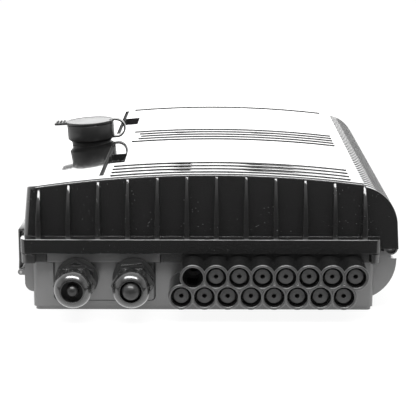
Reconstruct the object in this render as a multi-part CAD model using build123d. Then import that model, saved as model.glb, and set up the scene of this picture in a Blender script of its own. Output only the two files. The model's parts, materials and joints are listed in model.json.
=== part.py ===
from build123d import *
import math
import os

# A 16-port fibre optic splice closure, lying on its back: +Z out of the wall it is screwed to, -Y towards
# the cable entries, origin at the centre of the four wall-screw holes, in the plane of the wall.

# Fits and clearances
MOVE_GAP = 0.4      # between pieces that swing past each other
SHAFT_PLAY = 0.05   # radial play of a pin, rod or barrel in its hole
SEAT_PLAY = 0.1     # between rigid pieces that are screwed or pushed together
SEAL_PLAY = 0.3     # between the cover's press rib and the relaxed gasket

# Base tub
BASE_WIDTH = 228.6
BASE_LENGTH = 300.0
RIM_Z = 40.6
WALL = 2.8
FLOOR = 3.0
FOOT_HEIGHT = 2.5
FOOT_INSET = 1.2
FOOT_WIDTH = 9.0
LIP_HEIGHT = 6.2
SHELF = 3.0
TUB_CORNER = 3.0
POD_SETBACK = 3.4
LEFT_POD_REACH = 5.8
LEFT_POD_BOTTOM = 11.8
LEFT_POD_RADIUS = 6.0

# Hinge-side bulge, shared by base and cover
BULGE_X = 102.0
BULGE_RADIUS = 27.5
BULGE_FLARE = 0.9
BASE_BULGE_Z = 33.8

# Flange of the cover and the seal inside it
FLANGE_OUT = 8.0
FLANGE_LEFT = 6.9
FLANGE_RIGHT = 3.6
FLANGE_CORNER = 4.7
FLANGE_GAP = 0.6
LEDGE_Z = 50.8
SHELL = 2.5
SEAL_INSET = 3.5
CHANNEL_WIDTH = 6.0
CHANNEL_HEIGHT = 4.4
CHANNEL_WALL = 1.7
GASKET_HEIGHT = 3.1
PRESS_RIB = 1.3
SEAL_TO_HINGE = 7.1
SEAL_SIDE_END = 6.6

# Cover crown and walls
CREST_Z = 93.0
CREST_X = 5.5
CROWN_RADIUS = 806.0
TOP_LEFT = -117.5
TOP_RIGHT = 106.4
FOOT_LEFT = -120.8
COVER_FOOT = 149.5
COVER_LEAN = 2.0
COVER_BULGE_Z = 57.7
CORNER_ROUND = 8.0
TOP_ROUND = 2.0

# Ribs of the cover
RIB_PITCH = 19.62
RIB_FIRST = -108.8
RIB_COUNT = 12
RIB_TOP_WIDTH = 1.7
RIB_FOOT_WIDTH = 3.3
RIB_DROP = 2.2
FIN_COUNT = 42
FIN_THICKNESS = 2.4
FIN_HEIGHT = 2.5
FIN_FOOT = 6.0

# Top ridges, grooves and finger pockets
RIDGE_WIDTH = 1.6
RIDGE_HEIGHT = 0.6
RIDGE_RIGHT = 98.3
FRONT_RIDGE_LEFT = -62.0
FRONT_RIDGE_Y = -139.6
FRONT_RIDGE_PITCH = 10.6
FRONT_RIDGES = 4
MIDDLE_RIDGE_LEFT = -49.5
MIDDLE_RIDGE_BOW = 1.45
MIDDLE_RIDGE_PITCH = 10.4
MIDDLE_RIDGES = 5
GROOVE_X = -69.5
GROOVE_WIDTH = 2.4
GROOVE_DEPTH = 1.3
GROOVE_END = 137.0
GROOVE_START = 24.5
POCKET_LENGTH = 33.0
POCKET_WIDTH = 13.0
POCKET_Y = 79.5
POCKET_DEPTH = 5.0

# Cover hinge
HINGE_X = 125.7
HINGE_Z = 42.4
KNUCKLE_RADIUS = 4.7
HINGE_PIN_RADIUS = 2.0
EAR_LENGTH = 10.0
EAR_SPACING = 50.0
HINGE_RELIEF = 7.0
EAR_RECESS = 2.5

# Side latches
LATCH_X = -123.5
LATCH_Z = 24.0
LATCH_WIDTH = 40.0
LATCH_END = 138.0
LATCH_THICKNESS = 1.2
LATCH_BARREL = 2.0
LATCH_PIN_RADIUS = 1.0
LATCH_LUG = 4.0
LATCH_RISE = 7.0

# Lock in the cover and its keeper in the base
LOCK_X = -87.0
LOCK_BODY_RADIUS = 9.1
LOCK_FLANGE_RADIUS = 13.0
LOCK_FLANGE = 2.0
LOCK_LENGTH = 26.0
BARREL_RADIUS = 6.2
BARREL_END = 30.0
BARREL_LIP = 1.2
KEY_RADIUS = 3.8
KEY_DEPTH = 5.0
CAM_THICKNESS = 2.5
CAM_REACH = 23.0
CAM_WIDTH = 13.0
CAM_SQUARE = 7.0
KEEPER_THICKNESS = 2.5
KEEPER_WIDTH = 24.0
KEEPER_HEAD = 14.0
KEEPER_FOOT = 24.0
KEEPER_CLEARANCE = 0.8

# Dust cap over the lock
CAP_NECK_RADIUS = 15.0
CAP_RADIUS = 17.5
CAP_NECK_HEIGHT = 3.2
CAP_TAPER_HEIGHT = 4.8
CAP_HEIGHT = 16.2
CAP_MOUTH_RADIUS = 14.8
LID_THICKNESS = 1.5
LID_RADIUS = 17.9
SPIGOT_RADIUS = 13.0
SPIGOT_DEPTH = 2.6
TAB_LENGTH = 9.0
TAB_WIDTH = 12.0
STRAP_REACH = 8.8
STRAP_WIDTH = 6.0
STRAP_THICKNESS = 1.2

# Drop-cable ports
PORT_COLUMNS = 8
PORT_PITCH = 15.1
PORT_TOP_X = -6.4
PORT_TOP_Z = 31.2
PORT_LENGTH = 30.0
TUBE_RADIUS = 8.6
BORE_RADIUS = 6.65
DROP_HOLE_RADIUS = 4.2
PLUG_RECESS = 3.0
PLUG_LENGTH = 20.0
PLUG_FACE_RADIUS = 4.9
PLUG_FACE_DEPTH = 6.0
PLUG_HOLE_RADIUS = 1.5

# Gland plate and the two cable glands
PLATE_LEFT = -103.6
PLATE_RIGHT = -28.6
PLATE_SHOULDER = 3.7
PLATE_SHOULDER_Z = 33.4
PLATE_BOTTOM = 7.0
PLATE_CORNER = 3.3
PLATE_SLIT = 0.4
PLATE_KEEPER = 2.5
GLAND_Z = 23.5
GLAND_LEFT_X = -84.1
GLAND_RIGHT_X = -46.2
GLAND_HOLE_RADIUS = 10.3
GLAND_FLATS = 24.0
GLAND_WASHER_RADIUS = 14.2
GLAND_WASHER = 2.0
GLAND_HEX = 6.5
GLAND_NECK = 2.5
GLAND_THREAD_RADIUS = 10.2
GLAND_BORE_RADIUS = 7.6
NUT_HEX = 9.0
NUT_DOME = 13.0
DOME_RADIUS = 12.2
DOME_MOUTH_RADIUS = 7.1
DOME_ROUND = 4.0
LOCKNUT = 5.0
GLAND_TAIL = 9.0
LEFT_BALL_RADIUS = 4.3
RIGHT_BALL_RADIUS = 6.2

# Wall fixing
WALL_HOLE_X = 190.0
WALL_HOLE_Y = 250.0
WALL_HOLE_RADIUS = 2.75
WALL_BOSS_RADIUS = 8.0
WALL_BOSS_Z = 9.0

# Adapter bracket and duplex adapters
BRACKET_X = 28.0
BRACKET_Y = -72.0
BRACKET_SHEET = 1.5
BRACKET_FOOT = 12.0
ADAPTER_COLUMNS = 4
ADAPTER_ROWS = 2
ADAPTER_PITCH_X = 36.0
ADAPTER_PITCH_Z = 14.5
ADAPTER_FIRST_Z = 18.5
ADAPTER_WIDTH = 26.0
ADAPTER_HEIGHT = 9.4
ADAPTER_LENGTH = 28.0
ADAPTER_EAR = 4.0
ADAPTER_FLANGE = 2.0
DUST_CAP_WIDTH = 8.6
DUST_CAP_HEIGHT = 6.4
DUST_CAP_LIP = 1.6
DUST_CAP_STEM_RADIUS = 2.2
DUST_CAP_STEM = 5.0

# Splitter module
SPLITTER_X = -28.0
SPLITTER_Y = -22.0
SPLITTER_WIDTH = 100.0
SPLITTER_DEPTH = 56.0
SPLITTER_HEIGHT = 11.0

# Splice tray
TRAY_Y = 72.0
TRAY_Z = 24.0
TRAY_WIDTH = 180.0
TRAY_DEPTH = 120.0
TRAY_HEIGHT = 9.0
TRAY_WALL = 1.6
TRAY_CORNER = 22.0
TRAY_POST_X = 158.0
TRAY_POST_Y = 98.0
TRAY_POST_RADIUS = 5.0
TRAY_CORE_WIDTH = 70.0
TRAY_CORE_DEPTH = 34.0
TRAY_LID = 1.2
COMB_WIDTH = 30.0
COMB_DEPTH = 12.0
COMB_HEIGHT = 4.5
COMB_SLOTS = 6
COMB_SLOT = 2.6

# Cable clamps and screws
CLAMP_Y = -118.0
CLAMP_SPAN = 24.0
CLAMP_WIDTH = 10.0
CLAMP_SHEET = 1.5
CLAMP_SADDLE_RADIUS = 7.0
CLAMP_POST_Z = 15.0
SCREW_HEAD_RADIUS = 3.4
SCREW_HEAD = 2.2
SCREW_RADIUS = 1.6
SCREW_LENGTH = 6.0
BOSS_RADIUS = 4.5
BRACKET_BOSS_Z = 8.5

# Places that follow from the sizes above
HALF_WIDTH = BASE_WIDTH / 2
HALF_LENGTH = BASE_LENGTH / 2
FLOOR_Z = FOOT_HEIGHT + FLOOR
POD_END = HALF_LENGTH - POD_SETBACK
FLANGE_X0 = -HALF_WIDTH - FLANGE_LEFT
FLANGE_X1 = HALF_WIDTH + FLANGE_RIGHT
FLANGE_Y = HALF_LENGTH + FLANGE_OUT
FLANGE_Z = RIM_Z + FLANGE_GAP
SEAL_X0 = FLANGE_X0 + SEAL_INSET
SEAL_X1 = FLANGE_X1 - SEAL_INSET
SEAL_Y = FLANGE_Y - SEAL_INSET
SEAL_SIDE_X = HINGE_X - SEAL_TO_HINGE
SEAL_SIDE_Y = POD_END - SEAL_SIDE_END
LIP_Z = RIM_Z - LIP_HEIGHT
CHANNEL_Z = RIM_Z + CHANNEL_HEIGHT
GROOVE_Z = CHANNEL_Z - GASKET_HEIGHT + 0.6
PORT_FRONT = -HALF_LENGTH - PORT_LENGTH
BULGE_EDGE = BULGE_X + BULGE_RADIUS + BULGE_FLARE
TROUGH_RADIUS = KNUCKLE_RADIUS + MOVE_GAP
PAD_FACE = -SEAL_Y
LOCK_Z = CREST_Z - CROWN_RADIUS + math.sqrt(CROWN_RADIUS ** 2 - (LOCK_X - CREST_X) ** 2)
LOCK_TILT = math.degrees(math.asin((LOCK_X - CREST_X) / CROWN_RADIUS))
LOCK_FRAME = Pos(LOCK_X, 0, LOCK_Z) * Rot(0, LOCK_TILT, 0)
LID_Z = CAP_HEIGHT + SEAL_PLAY
LID_FOLD_X = LID_RADIUS + 0.6
TRAY_PLACE = Pos(0, TRAY_Y, TRAY_Z)
KEEPER_X = SEAL_X0 + CHANNEL_WIDTH + MOVE_GAP


def plate(x0, x1, y0, y1, z0, z1, corner=0.0):
    """A flat piece lying in plan, with its upright corners rounded where a radius is given."""
    plan = RectangleRounded(x1 - x0, y1 - y0, corner) if corner else Rectangle(x1 - x0, y1 - y0)
    return extrude(Pos((x0 + x1) / 2, (y0 + y1) / 2, z0) * plan, amount=z1 - z0)


def upright(radius, z0, z1, x=0.0, y=0.0):
    """A round post or hole along Z."""
    return Pos(x, y, (z0 + z1) / 2) * Cylinder(radius, z1 - z0)


def along_y(radius, y0, y1, x=0.0, z=0.0):
    """A round rod or hole along Y."""
    return Pos(x, (y0 + y1) / 2, z) * Rot(90, 0, 0) * Cylinder(radius, y1 - y0)


def cross_section(outline, y0, y1):
    """A closed X-Z outline carried along Y."""
    return Pos(0, y1, 0) * extrude(Plane.XZ * make_face(outline), amount=y1 - y0)


def side_section(outline, x0, x1):
    """A closed Y-Z outline carried along X."""
    return Pos(x0, 0, 0) * extrude(Plane.YZ * make_face(outline), amount=x1 - x0)


def turned(points, closed_by_axis=True):
    """A body turned about Z from an outline of radius and height."""
    return revolve(Plane.XZ * make_face(Polyline(*points, close=True)), axis=Axis.Z)


def bulge_outline(inner_x, centre_z, edge_z, inset):
    """The quarter-round hinge side: a flat, an arc and a slightly flared edge, in X and Z."""
    up = 1 if edge_z < centre_z else -1
    radius = BULGE_RADIUS - inset
    diagonal = radius / math.sqrt(2)
    flat_z = centre_z + up * radius
    start = (BULGE_X, flat_z)
    end = (BULGE_X + radius, centre_z)
    edge = (BULGE_EDGE - inset, edge_z)
    return [
        Line((inner_x, edge_z), (inner_x, flat_z)),
        Line((inner_x, flat_z), start),
        ThreePointArc(start, (BULGE_X + diagonal, centre_z + up * diagonal), end),
        Line(end, edge),
        Line(edge, (inner_x, edge_z)),
    ]


def seal_plan(inset):
    """The line of the seal: the flange outline moved in, and stepped out on the hinge side."""
    main_x0 = SEAL_X0 + inset
    main_x1 = SEAL_X1 - inset
    main_y = SEAL_Y - inset
    side_x1 = SEAL_SIDE_X - inset
    side_y = SEAL_SIDE_Y - inset
    main = Pos((main_x0 + main_x1) / 2, 0) * RectangleRounded(main_x1 - main_x0, 2 * main_y, FLANGE_CORNER)
    side = Pos(side_x1 / 2, 0) * Rectangle(side_x1, 2 * side_y)
    return main + side


def seal_ring(outer, inner, z0, z1):
    """A ring that follows the seal line between two insets."""
    return extrude(Pos(0, 0, z0) * (seal_plan(outer) - seal_plan(inner)), amount=z1 - z0)


def ear_spans():
    """The Y ranges of the base's hinge ears, two at each end."""
    spans = []
    for side in (-1, 1):
        for start in (POD_END - EAR_LENGTH, POD_END - EAR_LENGTH - EAR_SPACING):
            ends = (side * start, side * (start + EAR_LENGTH))
            spans.append((min(ends), max(ends)))
    return sorted(spans)


def port_centres():
    """Port axes, left to right, upper row then lower row, in a close-packed pattern."""
    row_drop = PORT_PITCH * math.sqrt(3) / 2
    upper = [(PORT_TOP_X + PORT_PITCH * k, PORT_TOP_Z) for k in range(PORT_COLUMNS)]
    lower = [(x - PORT_PITCH / 2, z - row_drop) for x, z in upper]
    return upper + lower


def boss_places():
    """Floor bosses that take the inner screws: place, top height."""
    bracket_half = ADAPTER_PITCH_X * ADAPTER_COLUMNS / 2
    bracket = [(BRACKET_X + s * (bracket_half - 8), BRACKET_Y + BRACKET_FOOT / 2 + 1, BRACKET_BOSS_Z) for s in (-1, 1)]
    clamps = [
        (x + s * CLAMP_SPAN / 2, CLAMP_Y, CLAMP_POST_Z) for x in (GLAND_LEFT_X, GLAND_RIGHT_X) for s in (-1, 1)
    ]
    keeper = [(KEEPER_X + KEEPER_THICKNESS + KEEPER_FOOT / 2, s * KEEPER_WIDTH / 4, BRACKET_BOSS_Z) for s in (-1, 1)]
    return bracket + clamps + keeper


# Base tub
def tub_form(inset, top):
    """The outside of the tub, or its inside at the wall's thickness: block, left side and hinge bulge."""
    end = POD_END - inset
    half_x = HALF_WIDTH - inset
    half_y = HALF_LENGTH - inset
    bottom = FOOT_HEIGHT + (FLOOR if inset else 0)
    block = plate(-half_x, half_x, -half_y, half_y, bottom, top, TUB_CORNER)
    bulge = cross_section(bulge_outline(HALF_WIDTH - 2 * BULGE_RADIUS, BASE_BULGE_Z, top, inset), -end, end)
    radius = LEFT_POD_RADIUS - inset
    left_x = -HALF_WIDTH - LEFT_POD_REACH + inset
    low_z = LEFT_POD_BOTTOM + inset
    corner = radius * (1 - 1 / math.sqrt(2))
    left = cross_section(
        [
            Line((-half_x + WALL, top), (left_x, top)),
            Line((left_x, top), (left_x, low_z + radius)),
            ThreePointArc((left_x, low_z + radius), (left_x + corner, low_z + corner), (left_x + radius, low_z)),
            Line((left_x + radius, low_z), (-half_x + WALL, low_z)),
            Line((-half_x + WALL, low_z), (-half_x + WALL, top)),
        ],
        -end,
        end,
    )
    return block + bulge + left


def base_rim():
    """The lip round the mouth of the tub with the gasket channel on top, and the four flange corners."""
    lip = extrude(Pos(0, 0, LIP_Z) * (seal_plan(0) - seal_plan(CHANNEL_WIDTH)), amount=LIP_HEIGHT)
    left = plate(FLANGE_X0 + 0.3, SEAL_X0 + 1, -POD_END, POD_END, LIP_Z, RIM_Z)
    channel = seal_ring(0, CHANNEL_WIDTH, RIM_Z, CHANNEL_Z)
    groove = seal_ring(CHANNEL_WALL, CHANNEL_WIDTH - CHANNEL_WALL, GROOVE_Z, CHANNEL_Z + 1)
    rim = lip + left + channel - groove
    inset = 0.3
    corner_block = plate(FLANGE_X0 + inset, FLANGE_X1 - inset, -FLANGE_Y + inset, FLANGE_Y - inset, LIP_Z, RIM_Z,
                         FLANGE_CORNER)
    corner_block -= plate(-HALF_WIDTH + WALL, HALF_WIDTH - WALL, -FLANGE_Y - 1, FLANGE_Y + 1, LIP_Z - 1, RIM_Z + 1)
    corner_block -= plate(FLANGE_X0 - 1, FLANGE_X1 + 1, -HALF_LENGTH + 1, HALF_LENGTH - 1, LIP_Z - 1, RIM_Z + 1)
    return rim + corner_block


def gland_window(slit):
    """The T-shaped window of the gland plate in the front wall, seen from the front, as a cutter."""
    shoulder = plate(PLATE_LEFT - slit, PLATE_RIGHT + slit, -FLANGE_Y, -HALF_LENGTH + WALL + 2,
                     PLATE_SHOULDER_Z - slit, CHANNEL_Z + 5)
    x0 = PLATE_LEFT + PLATE_SHOULDER - slit
    x1 = PLATE_RIGHT - PLATE_SHOULDER + slit
    height = PLATE_SHOULDER_Z + 3 * PLATE_CORNER - PLATE_BOTTOM
    lower_face = Pos((x0 + x1) / 2, PLATE_BOTTOM - slit + height / 2) * RectangleRounded(x1 - x0, height, PLATE_CORNER)
    lower = Pos(0, -HALF_LENGTH + WALL + 2, 0) * extrude(Plane.XZ * lower_face, amount=FLANGE_OUT)
    return shoulder + lower


def port_pack():
    """The sixteen drop-cable tubes, moulded together as one scalloped honeycomb."""
    centres = port_centres()
    upper = centres[:PORT_COLUMNS]
    lower = centres[PORT_COLUMNS:]
    face = make_face(Polyline(upper[0], upper[-1], lower[-1], lower[0], close=True))
    for x, z in centres:
        face += Pos(x, z) * Circle(TUBE_RADIUS)
    return Pos(0, -HALF_LENGTH + WALL / 2, 0) * extrude(Plane.XZ * face, amount=PORT_LENGTH + WALL / 2)


def hinge_ears(base):
    """Cuts the hinge trough and its outer relief into the bulge and stands the ears in it."""
    trough = along_y(TROUGH_RADIUS, -POD_END - 1, POD_END + 1, HINGE_X, HINGE_Z)
    relief = plate(HINGE_X, BULGE_EDGE + 2, -POD_END - 1, POD_END + 1, HINGE_Z - HINGE_RELIEF, HINGE_Z + 1)
    for y0, y1 in ear_spans():
        trough -= plate(HINGE_X - 2 * KNUCKLE_RADIUS, HINGE_X, y0, y1, HINGE_Z - 2 * KNUCKLE_RADIUS, RIM_Z)
    base = base - trough - relief
    for y0, y1 in ear_spans():
        base += along_y(KNUCKLE_RADIUS, y0, y1, HINGE_X, HINGE_Z)
    for side in (-1, 1):
        base -= along_y(HINGE_PIN_RADIUS + SHAFT_PLAY, *pin_span(side), HINGE_X, HINGE_Z)
        mouth = sorted((side * (POD_END - EAR_RECESS), side * (POD_END + 1)))
        base -= along_y(KNUCKLE_RADIUS - 1, *mouth, HINGE_X, HINGE_Z)
    return base


def pin_span(side):
    """Y range of a hinge pin and its hole, from the end ear's recess through the inner ear."""
    outer = POD_END - EAR_RECESS
    inner = POD_END - EAR_LENGTH - EAR_SPACING
    return tuple(sorted((side * outer, side * inner)))


def latch_lugs():
    """Lugs on the left side that hold the latch pins, one outside each end of each latch."""
    lugs = None
    side_x = -HALF_WIDTH - LEFT_POD_REACH
    for y0, y1 in latch_spans():
        for a, b in ((y0 - LATCH_LUG, y0 - MOVE_GAP), (y1 + MOVE_GAP, y1 + LATCH_LUG)):
            lug = along_y(LATCH_BARREL, a, b, LATCH_X, LATCH_Z)
            lug += plate(LATCH_X, side_x + 1, a, b, LATCH_Z - LATCH_BARREL, LATCH_Z + LATCH_BARREL)
            lugs = lug if lugs is None else lugs + lug
    return lugs


def latch_spans():
    """Y ranges of the two side latches."""
    inner = LATCH_END - LATCH_WIDTH
    return [(-LATCH_END, -inner), (inner, LATCH_END)]


def make_base():
    outer = tub_form(0, RIM_Z)
    cavity_top = RIM_Z - SHELF
    cavity = tub_form(WALL, cavity_top)
    cavity -= along_y(TROUGH_RADIUS + WALL + 1, -HALF_LENGTH, HALF_LENGTH, HINGE_X, HINGE_Z)
    mouth = extrude(Pos(0, 0, cavity_top - 1) * seal_plan(CHANNEL_WIDTH), amount=CHANNEL_HEIGHT + SHELF + 2)
    foot_x = HALF_WIDTH - FOOT_INSET
    foot_y = HALF_LENGTH - FOOT_INSET
    foot = plate(-foot_x, foot_x, -foot_y, foot_y, 0, FOOT_HEIGHT, TUB_CORNER)
    foot -= plate(-foot_x + FOOT_WIDTH, foot_x - FOOT_WIDTH, -foot_y + FOOT_WIDTH, foot_y - FOOT_WIDTH, -1, FOOT_HEIGHT)
    base = outer + foot + base_rim() + port_pack() + latch_lugs()
    base = base - cavity - mouth
    for x in (-WALL_HOLE_X / 2, WALL_HOLE_X / 2):
        for y in (-WALL_HOLE_Y / 2, WALL_HOLE_Y / 2):
            base += upright(WALL_BOSS_RADIUS, 0, WALL_BOSS_Z, x, y)
    for x, y, top in boss_places():
        base += upright(BOSS_RADIUS, FLOOR_Z - 1, top, x, y)
    for x, y in tray_posts():
        base += upright(TRAY_POST_RADIUS, FLOOR_Z - 1, TRAY_Z - SEAT_PLAY, x, y)
    base -= gland_window(PLATE_SLIT)
    for x, z in port_centres():
        base -= along_y(BORE_RADIUS, PORT_FRONT - 1, -HALF_LENGTH, x, z)
        base -= along_y(DROP_HOLE_RADIUS, -HALF_LENGTH - 1, -HALF_LENGTH + CHANNEL_WIDTH, x, z)
    for x in (-WALL_HOLE_X / 2, WALL_HOLE_X / 2):
        for y in (-WALL_HOLE_Y / 2, WALL_HOLE_Y / 2):
            base -= upright(WALL_HOLE_RADIUS, -1, WALL_BOSS_Z + 1, x, y)
    for x, y, top in screw_seats():
        base -= upright(SCREW_RADIUS + SHAFT_PLAY, top - SCREW_LENGTH - 3, TRAY_Z + 1, x, y)
    for y0, y1 in latch_spans():
        base -= along_y(LATCH_PIN_RADIUS, y0 - LATCH_LUG - 1, y1 + LATCH_LUG + 1, LATCH_X, LATCH_Z)
    return hinge_ears(base)


def tray_posts():
    return [(sx * TRAY_POST_X / 2, TRAY_Y + sy * TRAY_POST_Y / 2) for sx in (-1, 1) for sy in (-1, 1)]


def make_gasket():
    low = CHANNEL_WALL + SEAT_PLAY
    return seal_ring(low, CHANNEL_WIDTH - low, GROOVE_Z, GROOVE_Z + GASKET_HEIGHT)


# Gland plate and glands
def make_gland_plate():
    window = gland_window(0)
    front_skin = plate(PLATE_LEFT - 5, PLATE_RIGHT + 5, -HALF_LENGTH - 0.4, -HALF_LENGTH + WALL, 0, RIM_Z)
    rim = base_rim() & window
    body = (front_skin & window) + rim
    x0 = PLATE_LEFT + PLATE_SHOULDER - PLATE_KEEPER
    x1 = PLATE_RIGHT - PLATE_SHOULDER + PLATE_KEEPER
    inner_y = -HALF_LENGTH + WALL + SEAT_PLAY
    body += plate(x0, x1, inner_y - 0.2, inner_y + WALL - 0.5, FLOOR_Z + SEAT_PLAY, LIP_Z - 1, 0)
    trim = plate(x0 - 1, x1 + 1, -HALF_LENGTH - 1, inner_y, 0, PLATE_SHOULDER_Z) - gland_window(0)
    body -= trim
    for x in (GLAND_LEFT_X, GLAND_RIGHT_X):
        body += along_y(GLAND_WASHER_RADIUS - 0.4, PAD_FACE, -HALF_LENGTH + 1, x, GLAND_Z)
    for x in (GLAND_LEFT_X, GLAND_RIGHT_X):
        body -= along_y(GLAND_HOLE_RADIUS, -FLANGE_Y, -HALF_LENGTH + 4 * WALL, x, GLAND_Z)
    return body


def hexagon(flats, length, turn):
    """A hexagonal prism along Z, turned from having a corner on its X axis."""
    return extrude(Rot(0, 0, turn) * RegularPolygon(flats / math.sqrt(3), 6), amount=length)


def gland_pieces(side_x, body_turn, nut_turn, ball_radius):
    """The six pieces of one gland along Z, nose up, seated at z = 0 on the plate's pad."""
    hex_z = GLAND_WASHER
    neck_z = hex_z + GLAND_HEX
    nut_z = neck_z + GLAND_NECK
    dome_z = nut_z + NUT_HEX
    mouth_z = dome_z + NUT_DOME
    tail_z = -(SEAL_Y - HALF_LENGTH) - 2 * WALL - LOCKNUT - GLAND_TAIL / 3
    washer = upright(GLAND_WASHER_RADIUS, 0, GLAND_WASHER) - upright(GLAND_THREAD_RADIUS + SEAT_PLAY, -1, 9)
    body = Pos(0, 0, hex_z) * hexagon(GLAND_FLATS, GLAND_HEX, body_turn)
    body += upright(GLAND_THREAD_RADIUS, tail_z, hex_z + 1)
    body += upright(GLAND_THREAD_RADIUS, neck_z - 1, dome_z)
    body -= upright(GLAND_BORE_RADIUS, tail_z - 1, dome_z + 1)
    nut = Pos(0, 0, nut_z) * hexagon(GLAND_FLATS, NUT_HEX, nut_turn)
    rounding = DOME_ROUND / math.sqrt(2)
    dome_profile = [
        Line((0, nut_z), (DOME_RADIUS, nut_z)),
        Line((DOME_RADIUS, nut_z), (DOME_RADIUS, mouth_z - 2 * DOME_ROUND)),
        ThreePointArc(
            (DOME_RADIUS, mouth_z - 2 * DOME_ROUND),
            (DOME_RADIUS - DOME_ROUND + rounding, mouth_z - 2 * DOME_ROUND + 2 * rounding),
            (DOME_RADIUS - DOME_ROUND, mouth_z),
        ),
        Line((DOME_RADIUS - DOME_ROUND, mouth_z), (0, mouth_z)),
        Line((0, mouth_z), (0, nut_z)),
    ]
    nut += revolve(Plane.XZ * make_face(dome_profile), axis=Axis.Z)
    nut -= upright(GLAND_THREAD_RADIUS + SHAFT_PLAY, nut_z - 1, dome_z + MOVE_GAP)
    seal_top = dome_z + NUT_DOME / 2
    nut -= upright(GLAND_BORE_RADIUS + 1.2 + SHAFT_PLAY, dome_z, seal_top + MOVE_GAP)
    nut -= upright(DOME_MOUTH_RADIUS, dome_z, mouth_z + 1)
    seal = upright(GLAND_BORE_RADIUS - SEAT_PLAY, nut_z, dome_z) + upright(GLAND_BORE_RADIUS + 1.2, dome_z, seal_top)
    seal -= upright(ball_radius - 1.2, nut_z - 1, seal_top + 1)
    stem_z = nut_z - 3
    plug = upright(ball_radius - 1.2 - SEAT_PLAY, stem_z, seal_top + 1)
    plug += Pos(0, 0, seal_top + SEAT_PLAY + ball_radius * 0.6) * Sphere(ball_radius)
    plug -= upright(ball_radius * 2, seal_top - 2 * ball_radius, seal_top + SEAT_PLAY) - upright(
        ball_radius - 1.2 - SEAT_PLAY, seal_top - 2 * ball_radius - 1, seal_top + 2)
    locknut_z = -(SEAL_Y - HALF_LENGTH) - 2 * WALL - LOCKNUT
    locknut = Pos(0, 0, locknut_z) * hexagon(GLAND_FLATS + 2, LOCKNUT, 0)
    locknut -= upright(GLAND_THREAD_RADIUS + SHAFT_PLAY, locknut_z - 1, 0)
    pieces = {"washer": washer, "body": body, "nut": nut, "seal": seal, "plug": plug, "locknut": locknut}
    place = Pos(side_x, PAD_FACE, GLAND_Z) * Rot(90, 0, 0)
    return {name: place * piece for name, piece in pieces.items()}


# Plugs of the drop ports
def make_port_plug(x, z):
    """A rubber bung: a barbed body that fills the bore and a smaller nose with a blind pilot hole."""
    front = PORT_FRONT + PLUG_RECESS
    nose = along_y(PLUG_FACE_RADIUS, front, front + PLUG_FACE_DEPTH + 1, x, z)
    body = along_y(BORE_RADIUS - SHAFT_PLAY, front + PLUG_FACE_DEPTH, front + PLUG_LENGTH, x, z)
    return nose + body - along_y(PLUG_HOLE_RADIUS, front - 1, front + PLUG_FACE_DEPTH, x, z)


# Cover
def cover_form(inset, lowest):
    """The crowned body of the cover, or its inside at the shell's thickness, with the left corners round."""
    radius = CROWN_RADIUS - inset
    centre_z = CREST_Z - CROWN_RADIUS

    def crown(x):
        return centre_z + math.sqrt(radius ** 2 - (x - CREST_X) ** 2)

    left = TOP_LEFT + inset
    right = TOP_RIGHT - inset
    foot = FOOT_LEFT + inset
    body = cross_section(
        [
            Line((foot, lowest), (left, crown(left))),
            ThreePointArc((left, crown(left)), (CREST_X, CREST_Z - inset), (right, crown(right))),
            Line((right, crown(right)), (right, lowest)),
            Line((right, lowest), (foot, lowest)),
        ],
        -FLANGE_Y,
        FLANGE_Y,
    )
    body = body & end_walls(inset, lowest)
    corners = [e for e in body.edges() if e.center().X < TOP_LEFT + inset + 1 and e.length > 20
               and abs(abs(e.center().Y) - COVER_FOOT + inset + COVER_LEAN / 2) < 1]
    return fillet(corners, CORNER_ROUND - inset)


def end_walls(inset, lowest):
    """The leaning front and rear walls as a wide block that trims what is carried along Y."""
    foot = COVER_FOOT - inset
    top = COVER_FOOT - COVER_LEAN - inset
    outline = Polyline((-foot, lowest), (-top, CREST_Z + 1), (top, CREST_Z + 1), (foot, lowest), close=True)
    return side_section(outline, -2 * HALF_WIDTH, 2 * HALF_WIDTH)


def cover_bulge(inset, end_inset):
    """The quarter-round side of the cover over the hinge."""
    bulge = cross_section(bulge_outline(0, COVER_BULGE_Z, HINGE_Z, inset), -FLANGE_Y, FLANGE_Y)
    return bulge & end_walls(end_inset, HINGE_Z - 5)


def bulge_fins():
    """The curved fins on the bulge, evenly spaced between the end faces."""
    band = cover_bulge(0, 0) - cover_bulge(FIN_HEIGHT + 0.4, -1)
    band -= plate(0, 2 * HALF_WIDTH, -FLANGE_Y, FLANGE_Y, 0, HINGE_Z + FIN_FOOT)
    span = COVER_FOOT - COVER_LEAN
    pitch = 2 * (span - FIN_THICKNESS / 2) / (FIN_COUNT - 1)
    first = -span + FIN_THICKNESS / 2
    slots = None
    for k in range(FIN_COUNT - 1):
        y0 = first + pitch * k + FIN_THICKNESS / 2
        slot = plate(TOP_RIGHT - 6, BULGE_EDGE + 2, y0, y0 + pitch - FIN_THICKNESS, HINGE_Z, CREST_Z)
        slots = slot if slots is None else slots + slot
    return band, slots


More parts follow.
